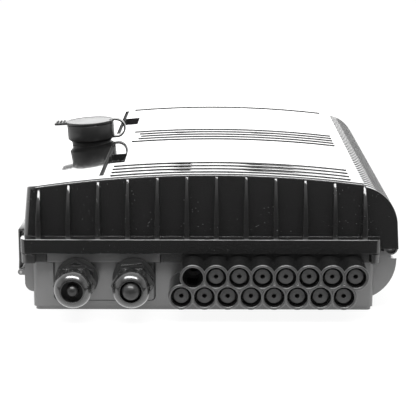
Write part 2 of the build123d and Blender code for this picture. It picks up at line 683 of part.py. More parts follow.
def front_ribs():
    """The tapering ribs down the front and rear walls, over the ledge and onto the flange."""
    top_z = CREST_Z - CROWN_RADIUS + math.sqrt(CROWN_RADIUS ** 2 - (TOP_LEFT - CREST_X) ** 2)
    foot_z = FLANGE_Z + 2
    wedge = Polyline(
        (-RIB_FOOT_WIDTH / 2, foot_z),
        (-RIB_TOP_WIDTH / 2, CREST_Z),
        (RIB_TOP_WIDTH / 2, CREST_Z),
        (RIB_FOOT_WIDTH / 2, foot_z),
        close=True,
    )
    ribs = None
    for k in range(RIB_COUNT):
        x = RIB_FIRST + RIB_PITCH * k
        crown_z = CREST_Z - CROWN_RADIUS + math.sqrt(CROWN_RADIUS ** 2 - (x - CREST_X) ** 2)
        rib_top = min(crown_z, top_z + 30) - RIB_DROP
        wall_y = COVER_FOOT - COVER_LEAN
        side = [
            Line((wall_y - 1, foot_z), (FLANGE_Y, foot_z)),
            Line((FLANGE_Y, foot_z), (FLANGE_Y, LEDGE_Z)),
            ThreePointArc((FLANGE_Y, LEDGE_Z), (wall_y + 5.2, LEDGE_Z + 20), (wall_y, rib_top)),
            Line((wall_y, rib_top), (wall_y - 1, rib_top)),
            Line((wall_y - 1, rib_top), (wall_y - 1, foot_z)),
        ]
        blade = side_section(side, -RIB_FOOT_WIDTH, RIB_FOOT_WIDTH) & cross_section(wedge, 0, 2 * HALF_LENGTH)
        rear = Pos(x, 0, 0) * blade
        pair = rear + mirror(rear, about=Plane.XZ)
        ribs = pair if ribs is None else ribs + pair
    return ribs


def crown_strip(x0, x1, y, width):
    """A low ridge across the crown, following its curve."""
    outer = CROWN_RADIUS + RIDGE_HEIGHT
    centre_z = CREST_Z - CROWN_RADIUS

    def height(radius, x):
        return centre_z + math.sqrt(radius ** 2 - (x - CREST_X) ** 2)

    middle = (x0 + x1) / 2
    inner = CROWN_RADIUS - RIDGE_HEIGHT
    outline = [
        ThreePointArc((x0, height(outer, x0)), (middle, height(outer, middle)), (x1, height(outer, x1))),
        Line((x1, height(outer, x1)), (x1, height(inner, x1))),
        ThreePointArc((x1, height(inner, x1)), (middle, height(inner, middle)), (x0, height(inner, x0))),
        Line((x0, height(inner, x0)), (x0, height(outer, x0))),
    ]
    return cross_section(outline, y - width / 2, y + width / 2)


def top_ridges():
    """Ridges near the front edge, the bowed middle group and one near the rear edge."""
    ridges = crown_strip(FRONT_RIDGE_LEFT, RIDGE_RIGHT, -FRONT_RIDGE_Y, RIDGE_WIDTH)
    for k in range(FRONT_RIDGES):
        ridges += crown_strip(FRONT_RIDGE_LEFT, RIDGE_RIGHT, FRONT_RIDGE_Y + FRONT_RIDGE_PITCH * k, RIDGE_WIDTH)
    middle = (MIDDLE_RIDGES - 1) / 2
    for k in range(MIDDLE_RIDGES):
        left = MIDDLE_RIDGE_LEFT - MIDDLE_RIDGE_BOW * (k - middle) ** 2
        ridges += crown_strip(left, RIDGE_RIGHT, MIDDLE_RIDGE_PITCH * (k - middle) + 5.7, RIDGE_WIDTH)
    return ridges


def groove_cutters():
    """Two straight grooves beside the lock strip, each with a finger pocket."""
    deep = crown_shell(GROOVE_DEPTH)
    pocket = crown_shell(POCKET_DEPTH)
    cutters = None
    for side in (-1, 1):
        groove_y = sorted((side * GROOVE_START, side * GROOVE_END))
        groove = plate(GROOVE_X, GROOVE_X + GROOVE_WIDTH, *groove_y, RIM_Z, CREST_Z + 5) & deep
        cutters = groove if cutters is None else cutters + groove
        y0 = side * POCKET_Y - POCKET_LENGTH / 2
        recess = plate(GROOVE_X + 1, GROOVE_X + 1 + POCKET_WIDTH, y0, y0 + POCKET_LENGTH, RIM_Z, CREST_Z + 5, 1.5)
        cutters += recess & pocket
    return cutters


def crown_shell(depth):
    """The layer just under the crown's surface, down to a depth, as a trimming body."""
    return plate(-2 * HALF_WIDTH, 2 * HALF_WIDTH, -FLANGE_Y, FLANGE_Y, RIM_Z, CREST_Z + 9) - cover_form(depth, RIM_Z - 1)


def pocket_walls():
    """The inner walls of the finger pockets."""
    walls = None
    for side in (-1, 1):
        y0 = side * POCKET_Y - POCKET_LENGTH / 2 - SHELL
        x0 = GROOVE_X + 1 - SHELL
        wall = plate(x0, x0 + POCKET_WIDTH + 2 * SHELL, y0, y0 + POCKET_LENGTH + 2 * SHELL, RIM_Z, CREST_Z, 1.5)
        wall = wall & (cover_form(1, RIM_Z) - cover_form(POCKET_DEPTH + SHELL, RIM_Z - 1))
        walls = wall if walls is None else walls + wall
    return walls


def make_cover():
    body = cover_form(0, LEDGE_Z - 1)
    rim_z = LEDGE_Z + 20
    top_edges = [e for e in body.edges() if e.bounding_box().min.Z > rim_z and e.center().X < TOP_RIGHT - 1]
    body = fillet(top_edges, TOP_ROUND)
    flange = plate(FLANGE_X0, FLANGE_X1, -FLANGE_Y, FLANGE_Y, FLANGE_Z, LEDGE_Z, FLANGE_CORNER)
    shell = body + flange + cover_bulge(0, 0)
    band, slots = bulge_fins()
    shell -= band & slots
    shell -= cover_bulge(-3, -5) & plate(0, 2 * HALF_WIDTH, -COVER_FOOT + SHELL, COVER_FOOT - SHELL, 0,
                                         HINGE_Z + FIN_FOOT) - cover_bulge(FIN_HEIGHT, -6)
    shell += front_ribs() + top_ridges()
    skirt_z = LEDGE_Z - SHELL
    skirt = plate(FLANGE_X0 + SHELL, FLANGE_X1 - SHELL, -FLANGE_Y + SHELL, FLANGE_Y - SHELL, 0, skirt_z, FLANGE_CORNER / 2)
    hinge_room = cover_bulge(FIN_HEIGHT + SHELL, SHELL) & plate(0, 2 * HALF_WIDTH, -FLANGE_Y, FLANGE_Y, 0, skirt_z)
    hinge_room = hinge_room + plate(0, FLANGE_X1 + 1, -COVER_FOOT + SHELL, COVER_FOOT - SHELL, 0, skirt_z)
    inside = cover_form(SHELL, LEDGE_Z)
    inside += cover_bulge(FIN_HEIGHT + SHELL, SHELL) - plate(0, 2 * HALF_WIDTH, -FLANGE_Y, FLANGE_Y, 0, LEDGE_Z)
    mouth_plan = seal_plan(CHANNEL_WIDTH - CHANNEL_WALL + 0.5) & Rectangle(2 * FLANGE_X1, 2 * (COVER_FOOT - SHELL))
    mouth = extrude(Pos(0, 0, skirt_z - 1) * mouth_plan, amount=SHELL + 2)
    shell = shell - skirt - hinge_room - inside - mouth
    rib_inset = CHANNEL_WIDTH / 2 - PRESS_RIB / 2
    shell += seal_ring(rib_inset, rib_inset + PRESS_RIB, GROOVE_Z + GASKET_HEIGHT + SEAL_PLAY, skirt_z + 0.5)
    shell += pocket_walls()
    shell -= groove_cutters()
    shell -= LOCK_FRAME * upright(LOCK_BODY_RADIUS + SEAT_PLAY, -LOCK_LENGTH, LOCK_FLANGE)
    shell -= along_y(TROUGH_RADIUS, -COVER_FOOT + SHELL, COVER_FOOT - SHELL, HINGE_X, HINGE_Z)
    spans = ear_spans()
    for (_, start), (end, _) in zip(spans, spans[1:]):
        barrel = along_y(KNUCKLE_RADIUS, start + MOVE_GAP, end - MOVE_GAP, HINGE_X, HINGE_Z)
        root = plate(HINGE_X - 0.5, BULGE_EDGE - FIN_HEIGHT, start + MOVE_GAP, end - MOVE_GAP, HINGE_Z,
                     HINGE_Z + KNUCKLE_RADIUS + 1.5)
        shell += barrel + root
    for side in (-1, 1):
        shell -= along_y(HINGE_PIN_RADIUS + SHAFT_PLAY, *pin_span(side), HINGE_X, HINGE_Z)
    return shell


# Hinge pins and latches
def make_hinge_pin(side):
    y0, y1 = pin_span(side)
    return along_y(HINGE_PIN_RADIUS, y0 + SEAT_PLAY, y1 - SEAT_PLAY, HINGE_X, HINGE_Z)


def make_latch(y0, y1):
    """A flat clip: a rolled eye at the foot, an upright plate and a nose over the cover's ledge."""
    outer = LATCH_X - LATCH_BARREL
    inner = outer + LATCH_THICKNESS
    top = LEDGE_Z + LATCH_RISE
    nose = FLANGE_X0 - MOVE_GAP
    outline = Polyline(
        (outer, LATCH_Z),
        (outer - 0.6, LATCH_Z + 9),
        (outer - 0.6, top - 2),
        (outer + 1, top),
        (nose, top - 1.5),
        (nose, LEDGE_Z + 1.2),
        (inner, LEDGE_Z + 3),
        (inner - 0.6, LATCH_Z + 9),
        (inner, LATCH_Z),
        close=True,
    )
    latch = cross_section(outline, y0, y1)
    eye = along_y(LATCH_BARREL, y0, y1, LATCH_X, LATCH_Z)
    hole = along_y(LATCH_PIN_RADIUS + SHAFT_PLAY, y0 - 1, y1 + 1, LATCH_X, LATCH_Z)
    return latch + eye - hole


def make_latch_pins():
    pins = [along_y(LATCH_PIN_RADIUS - 0.02, y0 - LATCH_LUG, y1 + LATCH_LUG, LATCH_X, LATCH_Z)
            for y0, y1 in latch_spans()]
    return pins


# Lock and dust cap, built about the lock's own axis with z = 0 on the cover
def make_lock():
    housing = upright(LOCK_FLANGE_RADIUS, SEAT_PLAY, LOCK_FLANGE)
    housing += upright(LOCK_BODY_RADIUS, -LOCK_LENGTH, LOCK_FLANGE)
    housing -= upright(BARREL_RADIUS + SHAFT_PLAY, -LOCK_LENGTH - 1, LOCK_FLANGE + 1)
    nut_top = -SHELL - SEAT_PLAY - 0.4
    nut = Pos(0, 0, nut_top - 4) * hexagon(2.6 * LOCK_BODY_RADIUS, 4, 0)
    nut -= upright(LOCK_BODY_RADIUS + SHAFT_PLAY, -20, 0)
    barrel = upright(BARREL_RADIUS, -BARREL_END, LOCK_FLANGE - 0.4)
    key = extrude(Pos(0, 0, -KEY_DEPTH) * RegularPolygon(KEY_RADIUS, 3), amount=KEY_DEPTH + LOCK_FLANGE - 1)
    socket = upright(BARREL_RADIUS - BARREL_LIP, -KEY_DEPTH, LOCK_FLANGE + 1) - key
    barrel -= socket
    cam_z = -BARREL_END - CAM_THICKNESS
    barrel += extrude(Pos(0, 0, cam_z - SEAT_PLAY) * Rectangle(CAM_SQUARE, CAM_SQUARE), amount=CAM_THICKNESS + 1)
    barrel += upright(BARREL_RADIUS - 0.8, cam_z - 2, cam_z - SEAT_PLAY)
    tip = CAM_REACH - CAM_WIDTH / 2
    cam_plan = Circle(CAM_WIDTH / 2) + Pos(0, tip / 2) * Rectangle(CAM_WIDTH * 0.8, tip) + Pos(0, tip) * Circle(
        CAM_WIDTH * 0.4)
    cam_plan -= Rectangle(CAM_SQUARE + SHAFT_PLAY, CAM_SQUARE + SHAFT_PLAY)
    cam = extrude(Pos(0, 0, cam_z) * cam_plan, amount=CAM_THICKNESS - SEAT_PLAY)
    pieces = {"lock_housing": housing, "lock_nut": nut, "lock_barrel": barrel, "lock_cam": cam}
    return {name: LOCK_FRAME * piece for name, piece in pieces.items()}


def make_keeper():
    """A steel angle that the cam turns under, screwed to the floor."""
    foot_z = BRACKET_BOSS_Z
    x0 = KEEPER_X
    x1 = x0 + KEEPER_THICKNESS
    tilt = math.radians(LOCK_TILT)
    fall = (x0 + KEEPER_HEAD - LOCK_X) * math.tan(tilt)
    cam_top = LOCK_Z - BARREL_END / math.cos(tilt) - fall
    head_z = cam_top + KEEPER_CLEARANCE
    outline = Polyline(
        (x0, foot_z),
        (x0, head_z + KEEPER_THICKNESS),
        (x0 + KEEPER_HEAD, head_z + KEEPER_THICKNESS),
        (x0 + KEEPER_HEAD, head_z),
        (x1, head_z),
        (x1, foot_z + KEEPER_THICKNESS),
        (x1 + KEEPER_FOOT, foot_z + KEEPER_THICKNESS),
        (x1 + KEEPER_FOOT, foot_z),
        close=True,
    )
    keeper = cross_section(outline, -KEEPER_WIDTH / 2, KEEPER_WIDTH / 2)
    for s in (-1, 1):
        keeper -= upright(SCREW_RADIUS + SEAT_PLAY, 0, head_z - 1, x1 + KEEPER_FOOT / 2, s * KEEPER_WIDTH / 4)
    return keeper


def strap_loop():
    """The cap's strap: out of the sleeve, round and back to the fold at the edge of the lid."""
    top = LID_Z + LID_THICKNESS - STRAP_THICKNESS / 2
    bottom = CAP_NECK_HEIGHT + CAP_TAPER_HEIGHT + STRAP_THICKNESS
    radius = (top - bottom) / 2
    centre_x = CAP_RADIUS + STRAP_REACH - radius - STRAP_THICKNESS / 2
    bend = Circle(radius + STRAP_THICKNESS / 2) - Circle(radius - STRAP_THICKNESS / 2)
    bend = bend & Pos(2 * radius, 0) * Rectangle(4 * radius, 4 * radius)
    loop = Pos(centre_x, (top + bottom) / 2) * bend
    for start, z in ((LID_FOLD_X + MOVE_GAP / 2, top), (CAP_RADIUS - 1, bottom)):
        loop += Pos((start + centre_x) / 2, z) * Rectangle(centre_x - start, STRAP_THICKNESS)
    return Pos(0, STRAP_WIDTH / 2, 0) * extrude(Plane.XZ * loop, amount=STRAP_WIDTH)


def make_cap():
    seat = SEAT_PLAY + 0.05
    taper_top = CAP_NECK_HEIGHT + CAP_TAPER_HEIGHT
    bore = LOCK_FLANGE_RADIUS + SEAT_PLAY
    sleeve = turned([
        (bore, seat),
        (CAP_NECK_RADIUS, seat),
        (CAP_NECK_RADIUS, CAP_NECK_HEIGHT),
        (CAP_RADIUS, taper_top),
        (CAP_RADIUS, CAP_HEIGHT),
        (CAP_MOUTH_RADIUS, CAP_HEIGHT),
        (CAP_MOUTH_RADIUS, CAP_HEIGHT - SPIGOT_DEPTH - 2),
        (bore, taper_top),
    ])
    sleeve += strap_loop()
    lid_z = LID_Z
    lid = upright(LID_RADIUS, lid_z, lid_z + LID_THICKNESS)
    spigot = Cone(SPIGOT_RADIUS - 1, SPIGOT_RADIUS, SPIGOT_DEPTH)
    lid += Pos(0, 0, lid_z - SPIGOT_DEPTH / 2) * spigot
    tab_end = CAP_RADIUS + TAB_LENGTH - TAB_WIDTH / 2
    tab = Pos(-tab_end / 2, 0) * Rectangle(tab_end, TAB_WIDTH) + Pos(-tab_end, 0) * Circle(TAB_WIDTH / 2)
    lid += extrude(Pos(0, 0, lid_z) * tab, amount=LID_THICKNESS)
    hinge_end = LID_FOLD_X - MOVE_GAP / 2
    lid += extrude(Pos(hinge_end - LID_RADIUS / 2, 0, lid_z) * Rectangle(LID_RADIUS, STRAP_WIDTH), amount=LID_THICKNESS)
    return {"cap_sleeve": LOCK_FRAME * sleeve, "cap_lid": LOCK_FRAME * lid}


# Adapter bracket, adapters and splitter
def adapter_centres():
    first_x = BRACKET_X - ADAPTER_PITCH_X * (ADAPTER_COLUMNS - 1) / 2
    return [(first_x + ADAPTER_PITCH_X * c, ADAPTER_FIRST_Z + ADAPTER_PITCH_Z * r)
            for r in range(ADAPTER_ROWS) for c in range(ADAPTER_COLUMNS)]


def make_bracket():
    """A bent sheet: an upright with a window for each adapter, and a foot with two screw holes."""
    half = ADAPTER_PITCH_X * ADAPTER_COLUMNS / 2
    top = ADAPTER_FIRST_Z + ADAPTER_PITCH_Z * (ADAPTER_ROWS - 0.5)
    foot_z = BRACKET_BOSS_Z
    y0 = BRACKET_Y
    outline = Polyline(
        (y0, foot_z),
        (y0, top),
        (y0 + BRACKET_SHEET, top),
        (y0 + BRACKET_SHEET, foot_z + BRACKET_SHEET),
        (y0 + BRACKET_FOOT, foot_z + BRACKET_SHEET),
        (y0 + BRACKET_FOOT, foot_z),
        close=True,
    )
    bracket = side_section(outline, BRACKET_X - half, BRACKET_X + half)
    for x, z in adapter_centres():
        window = plate(x - ADAPTER_WIDTH / 2 - SEAT_PLAY, x + ADAPTER_WIDTH / 2 + SEAT_PLAY, y0 - 1, y0 + BRACKET_SHEET + 1,
                       z - ADAPTER_HEIGHT / 2 - SEAT_PLAY, z + ADAPTER_HEIGHT / 2 + SEAT_PLAY)
        bracket -= window
    for x, y, top_z in boss_places()[:2]:
        bracket -= upright(SCREW_RADIUS + SEAT_PLAY, foot_z - 1, foot_z + 5, x, y)
    return bracket


def make_adapter(x, z):
    """A duplex adapter: a block with a flange, and its four dust caps pushed in."""
    half = ADAPTER_LENGTH / 2
    y = BRACKET_Y - ADAPTER_FLANGE / 2
    height = ADAPTER_HEIGHT / 2
    block = plate(x - ADAPTER_WIDTH / 2, x + ADAPTER_WIDTH / 2, y - half, y + half, z - height, z + height)
    reach = ADAPTER_WIDTH / 2 + ADAPTER_EAR
    block += plate(x - reach, x + reach, BRACKET_Y - ADAPTER_FLANGE, BRACKET_Y, z - height - 1, z + height + 1)
    for side in (-1, 1):
        cx = x + side * ADAPTER_WIDTH / 4
        cap_half = half + DUST_CAP_LIP
        stem_half = cap_half + DUST_CAP_STEM
        block += plate(cx - DUST_CAP_WIDTH / 2, cx + DUST_CAP_WIDTH / 2, y - cap_half, y + cap_half,
                       z - DUST_CAP_HEIGHT / 2, z + DUST_CAP_HEIGHT / 2)
        block += along_y(DUST_CAP_STEM_RADIUS, y - stem_half, y + stem_half, cx, z)
    return block


def make_splitter():
    """A flat splitter cassette with a lid line and a row of fibre outlets at its front end."""
    x0 = SPLITTER_X - SPLITTER_WIDTH / 2
    x1 = SPLITTER_X + SPLITTER_WIDTH / 2
    y0 = SPLITTER_Y - SPLITTER_DEPTH / 2
    y1 = SPLITTER_Y + SPLITTER_DEPTH / 2
    body = plate(x0, x1, y0, y1, FLOOR_Z, FLOOR_Z + SPLITTER_HEIGHT, 4)
    body -= plate(x0 + 3, x1 - 3, y0 + 3, y1 - 3, FLOOR_Z + SPLITTER_HEIGHT - 0.6, FLOOR_Z + SPLITTER_HEIGHT + 1, 2)
    outlet = plate(x1 - 1, x1 + 5, SPLITTER_Y - 10, SPLITTER_Y + 10, FLOOR_Z + 3, FLOOR_Z + SPLITTER_HEIGHT - 3, 1)
    return body + outlet


# Splice tray
def make_tray():
    """A shallow tray: round-cornered wall, an oval core that keeps the fibre's bend, and entry slots."""
    half_x = TRAY_WIDTH / 2
    half_y = TRAY_DEPTH / 2
    tray = plate(-half_x, half_x, -half_y, half_y, 0, TRAY_HEIGHT, TRAY_CORNER)
    tray -= plate(-half_x + TRAY_WALL, half_x - TRAY_WALL, -half_y + TRAY_WALL, half_y - TRAY_WALL, TRAY_WALL,
                  TRAY_HEIGHT + 1, TRAY_CORNER - TRAY_WALL)
    core = RectangleRounded(TRAY_CORE_WIDTH, TRAY_CORE_DEPTH, TRAY_CORE_DEPTH / 2 - 1)
    core -= RectangleRounded(TRAY_CORE_WIDTH - 2 * TRAY_WALL, TRAY_CORE_DEPTH - 2 * TRAY_WALL,
                             TRAY_CORE_DEPTH / 2 - 1 - TRAY_WALL)
    core -= Rectangle(TRAY_CORE_WIDTH + 2, 8)
    tray += extrude(Pos(0, 0, TRAY_WALL - 0.5) * core, amount=TRAY_HEIGHT - TRAY_WALL - 0.5)
    for s in (-1, 1):
        slot_x = s * (half_x - TRAY_CORNER - 6)
        tray -= plate(slot_x - 6, slot_x + 6, -half_y - 1, -half_y + TRAY_WALL + 1, TRAY_WALL, TRAY_HEIGHT + 1)
    for x, y in tray_posts():
        tray += upright(TRAY_POST_RADIUS, 0, TRAY_HEIGHT - 3, x, y - TRAY_Y)
        tray -= upright(SCREW_RADIUS + SEAT_PLAY, -1, TRAY_HEIGHT + 1, x, y - TRAY_Y)
    return TRAY_PLACE * tray


def make_comb(side):
    """A rubber comb that grips a row of splice sleeves."""
    x = side * (TRAY_CORE_WIDTH / 2 + COMB_WIDTH / 2 + 3)
    comb = plate(x - COMB_WIDTH / 2, x + COMB_WIDTH / 2, -COMB_DEPTH / 2, COMB_DEPTH / 2, TRAY_WALL,
                 TRAY_WALL + COMB_HEIGHT)
    pitch = COMB_WIDTH / COMB_SLOTS
    for k in range(COMB_SLOTS):
        cx = x - COMB_WIDTH / 2 + pitch * (k + 0.5)
        comb -= plate(cx - COMB_SLOT / 2, cx + COMB_SLOT / 2, -COMB_DEPTH, COMB_DEPTH, TRAY_WALL + 1.2,
                      TRAY_WALL + COMB_HEIGHT + 1)
    return TRAY_PLACE * comb


def make_tray_lid():
    half_x = TRAY_WIDTH / 2
    half_y = TRAY_DEPTH / 2
    lid = plate(-half_x, half_x, -half_y, half_y, TRAY_HEIGHT, TRAY_HEIGHT + TRAY_LID, TRAY_CORNER)
    notch = 2 * TRAY_POST_RADIUS
    for x, y in tray_posts():
        lid -= upright(notch / 2 + 1, TRAY_HEIGHT - 1, TRAY_HEIGHT + 5, x, y - TRAY_Y)
    return TRAY_PLACE * lid


# Cable clamps and the inner screws
def make_clamp(x):
    """A bent strap with a round saddle between two flat ends."""
    z0 = CLAMP_POST_Z
    end = CLAMP_SPAN / 2 + BOSS_RADIUS
    outer = CLAMP_SADDLE_RADIUS + CLAMP_SHEET
    strap = Pos(0, z0 + CLAMP_SHEET / 2) * Rectangle(2 * end, CLAMP_SHEET) + Pos(0, z0) * Circle(outer)
    strap -= Pos(0, z0) * Circle(CLAMP_SADDLE_RADIUS)
    strap -= Pos(0, z0 - outer) * Rectangle(2 * outer, 2 * outer)
    strap = Pos(x, CLAMP_Y + CLAMP_WIDTH / 2, 0) * extrude(Plane.XZ * strap, amount=CLAMP_WIDTH)
    for s in (-1, 1):
        strap -= upright(SCREW_RADIUS + SEAT_PLAY, z0 - 1, z0 + 5, x + s * CLAMP_SPAN / 2, CLAMP_Y)
    return strap


def screw_seats():
    """Each inner screw's place and the height its head sits at."""
    seats = []
    thickness = [BRACKET_SHEET] * 2 + [CLAMP_SHEET] * 4 + [KEEPER_THICKNESS] * 2
    for (x, y, top), sheet in zip(boss_places(), thickness):
        seats.append((x, y, top + sheet))
    for x, y in tray_posts():
        seats.append((x, y, TRAY_Z + TRAY_HEIGHT - 3))
    return seats


def make_screws():
    screws = []
    for x, y, z in screw_seats():
        head = upright(SCREW_HEAD_RADIUS, z, z + SCREW_HEAD, x, y)
        screws.append(head + upright(SCREW_RADIUS, z - SCREW_LENGTH, z + 0.5, x, y))
    return screws


def save(name, solids):
    """Writes one named piece, or a group of like pieces, as its own file."""
    shape = Compound(children=list(solids)) if isinstance(solids, list) else solids
    export_step(shape, f"parts/{name}.step")


def main():
    os.makedirs("parts", exist_ok=True)
    save("base_shell", make_base())
    save("base_gasket", make_gasket())
    save("gland_plate", make_gland_plate())
    for side, x, body_turn, nut_turn, ball in (
        ("left", GLAND_LEFT_X, 30, 0, LEFT_BALL_RADIUS),
        ("right", GLAND_RIGHT_X, 5, 0, RIGHT_BALL_RADIUS),
    ):
        for name, piece in gland_pieces(x, body_turn, nut_turn, ball).items():
            save(f"gland_{side}_{name}", piece)
    for number, (x, z) in enumerate(port_centres()[1:], start=1):
        save(f"port_plug_{number:02d}", make_port_plug(x, z))
    save("cover_shell", make_cover())
    for end, side in (("front", -1), ("rear", 1)):
        save(f"hinge_pin_{end}", make_hinge_pin(side))
    for end, (y0, y1) in zip(("front", "rear"), latch_spans()):
        save(f"latch_{end}", make_latch(y0, y1))
    save("latch_pins", make_latch_pins())
    for name, piece in {**make_lock(), **make_cap()}.items():
        save(name, piece)
    save("lock_keeper", make_keeper())
    save("adapter_bracket", make_bracket())
    for number, (x, z) in enumerate(adapter_centres(), start=1):
        save(f"adapter_{number}", make_adapter(x, z))
    save("splitter_module", make_splitter())
    save("splice_tray", make_tray())
    save("tray_lid", make_tray_lid())
    for side, sign in (("left", -1), ("right", 1)):
        save(f"splice_comb_{side}", make_comb(sign))
    for side, x in (("left", GLAND_LEFT_X), ("right", GLAND_RIGHT_X)):
        save(f"cable_clamp_{side}", make_clamp(x))
    save("inner_screws", make_screws())


main()
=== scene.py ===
import bmesh
import bpy
import json
import math
from mathutils import Matrix, Vector


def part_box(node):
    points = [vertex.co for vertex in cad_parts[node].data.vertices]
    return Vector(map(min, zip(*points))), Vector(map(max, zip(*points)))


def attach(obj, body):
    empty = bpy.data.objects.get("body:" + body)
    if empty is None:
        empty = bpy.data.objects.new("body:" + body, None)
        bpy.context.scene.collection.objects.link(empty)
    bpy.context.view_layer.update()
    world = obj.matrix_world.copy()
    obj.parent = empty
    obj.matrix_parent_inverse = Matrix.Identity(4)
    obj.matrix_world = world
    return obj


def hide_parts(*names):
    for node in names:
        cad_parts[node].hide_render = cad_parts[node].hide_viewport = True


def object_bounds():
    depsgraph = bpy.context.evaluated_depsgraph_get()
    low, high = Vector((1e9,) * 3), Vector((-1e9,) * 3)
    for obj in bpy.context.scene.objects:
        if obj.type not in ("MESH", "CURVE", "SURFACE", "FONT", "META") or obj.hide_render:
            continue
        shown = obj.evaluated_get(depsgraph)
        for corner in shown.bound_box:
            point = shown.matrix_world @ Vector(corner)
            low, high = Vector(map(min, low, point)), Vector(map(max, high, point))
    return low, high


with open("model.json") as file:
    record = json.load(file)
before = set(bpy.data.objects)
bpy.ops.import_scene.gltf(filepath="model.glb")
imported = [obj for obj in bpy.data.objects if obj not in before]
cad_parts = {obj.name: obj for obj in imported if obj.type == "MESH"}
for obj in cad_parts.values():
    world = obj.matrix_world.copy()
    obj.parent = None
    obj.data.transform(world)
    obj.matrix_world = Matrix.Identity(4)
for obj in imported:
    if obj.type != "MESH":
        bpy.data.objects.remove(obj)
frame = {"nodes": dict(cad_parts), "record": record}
cad_low, cad_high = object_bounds()
nodes = frame["nodes"]

MM = 0.001

# Measures shared with the solids, in millimetres
CROWN_RADIUS, CREST = 806.0, (5.5, 93.0)
BULGE_X, BULGE_Z, BULGE_RADIUS = 102.0, 57.7, 27.5
WALL_Y, FLANGE_Y, LEDGE_Z = 147.5, 158.0, 50.8
RIB_FIRST, RIB_PITCH, RIBS = -108.8, 19.62, 12
FIN_WIDTH, FIN_DEPTH, FINS = 2.4, 3.2, 42
FIN_SIDE, FIN_FOOT = 106.7, 48.4
GROOVE_X, GROOVE_HALF, GROOVE_Z = -68.3, 1.5, 84.0
GROOVE_START, GROOVE_END = 24.5, 137.0
LOCK_X, CAP_TILT, CAP_LIFT = -87.0, -3.5, 0.9
LATCHES = (("latch_front", -118.0), ("latch_rear", 118.0))
LATCH_PIN_X, LATCH_PIN_Z, LATCH_HALF = -123.5, 24.0, 20.0
PORT_ROOT, PORT_END = -151.5, -180.0
TUBE_RADIUS, BORE_RADIUS = 8.6, 6.65
UPPER_PORTS = [(-6.4 + 15.1 * k, 31.2) for k in range(8)]
PORT_PLACES = UPPER_PORTS + [(x - 7.55, z - 13.077) for x, z in UPPER_PORTS]
GLANDS = (("gland_left_thread", -84.1), ("gland_right_thread", -46.2))
GLAND_FACE, GLAND_Z = -154.5, 23.5
PLATE_INSET, PLATE_SHOULDER_Z, PLATE_FOOT_GAP = 4.6, 33.4, 0.9
ADAPTER_Y, ADAPTER_HALF = -73.0, 14.2

# A mask's usual soft edge, in metres
SOFT = 0.0002


# Shader kit
class Value:
    """One socket of a shader tree, with arithmetic that adds Math nodes."""

    def __init__(self, tree, socket):
        self.tree = tree
        self.socket = socket

    def combine(self, operation, *others):
        inputs = {index: other for index, other in enumerate((self, *others))}
        return self.tree.add("ShaderNodeMath", {"operation": operation}, inputs)

    def __add__(self, other):
        return self.combine("ADD", other)

    __radd__ = __add__

    def __mul__(self, other):
        return self.combine("MULTIPLY", other)

    __rmul__ = __mul__

    def __sub__(self, other):
        return self.combine("SUBTRACT", other)

    def __rsub__(self, other):
        return self * -1 + other

    def __pow__(self, other):
        return self.combine("POWER", other)

    def above(self, level, softness=SOFT):
        """0 below the level and 1 above it, over a soft edge."""
        return self.tree.add("ShaderNodeMapRange", {"clamp": True, "interpolation_type": "SMOOTHSTEP"}, {
            "Value": self, "From Min": level - softness, "From Max": level + softness})

    def below(self, level, softness=SOFT):
        return 1 - self.above(level, softness)

    def near(self, centre, reach, softness=SOFT):
        """1 within a reach of a centre and 0 beyond it."""
        return (self - centre).size().below(reach, softness)

    def size(self):
        return self.combine("ABSOLUTE")

    def larger(self, other):
        return self.combine("MAXIMUM", other)


class Tree:
    """A material's or the world's nodes, added one call at a time."""

    def __init__(self, owner):
        owner.use_nodes = True
        self.nodes = owner.node_tree.nodes
        self.links = owner.node_tree.links
        self.nodes.clear()

    def add(self, kind, settings=None, inputs=None, output=0):
        node = self.nodes.new(kind)
        for name, setting in (settings or {}).items():
            setattr(node, name, setting)
        for name, given in (inputs or {}).items():
            if isinstance(given, Value):
                self.links.new(given.socket, node.inputs[name])
            else:
                node.inputs[name].default_value = given
        return Value(self, node.outputs[output]) if len(node.outputs) else None

    def place(self):
        """Object coordinates, which stay with the piece."""
        return self.add("ShaderNodeTexCoord", output=3)

    def axis(self, name):
        return self.add("ShaderNodeSeparateXYZ", inputs={"Vector": self.place()}, output="XYZ".index(name))

    def grain(self, scale, detail=2.0, roughness=0.5, stretch=None):
        """Smooth noise with so many bumps in a metre, stretched along an axis where asked."""
        place = self.place()
        if stretch:
            place = self.add("ShaderNodeMapping", inputs={"Vector": place, "Scale": stretch})
        return self.add("ShaderNodeTexNoise", inputs={
            "Vector": place, "Scale": scale, "Detail": detail, "Roughness": roughness})

    def specks(self, scale, size):
        """Scattered small dots, 1 inside a dot."""
        cells = self.add("ShaderNodeTexVoronoi", inputs={"Vector": self.place(), "Scale": scale})
        return cells.below(size, size * 0.4)

    def mix(self, factor, first, second):
        """A colour between two others."""
        return self.add("ShaderNodeMix", {"data_type": "RGBA"}, {0: factor, 6: first, 7: second}, output=2)

    def bump(self, height, depth, rounding):
        """A bumped normal over rounded edges, with depth and rounding in metres."""
        rounded = self.add("ShaderNodeBevel", {"samples": 4}, {"Radius": rounding})
        return self.add("ShaderNodeBump", inputs={
            "Height": height, "Distance": depth, "Strength": 1.0, "Normal": rounded})

    def surface(self, **sockets):
        """The Principled shader and the output, by plain socket names."""
        names = {"color": "Base Color", "rough": "Roughness", "metal": "Metallic", "normal": "Normal", "ior": "IOR",
                 "coat": "Coat Weight", "coat_rough": "Coat Roughness", "alpha": "Alpha"}
        shader = self.add("ShaderNodeBsdfPrincipled", inputs={names[key]: given for key, given in sockets.items()})
        self.add("ShaderNodeOutputMaterial", inputs={"Surface": shader})


def grey(level, warmth=0.0):
    """A grey, with a little more red and less blue where it is warm."""
    return (level * (1 + warmth), level, level * (1 - warmth), 1)


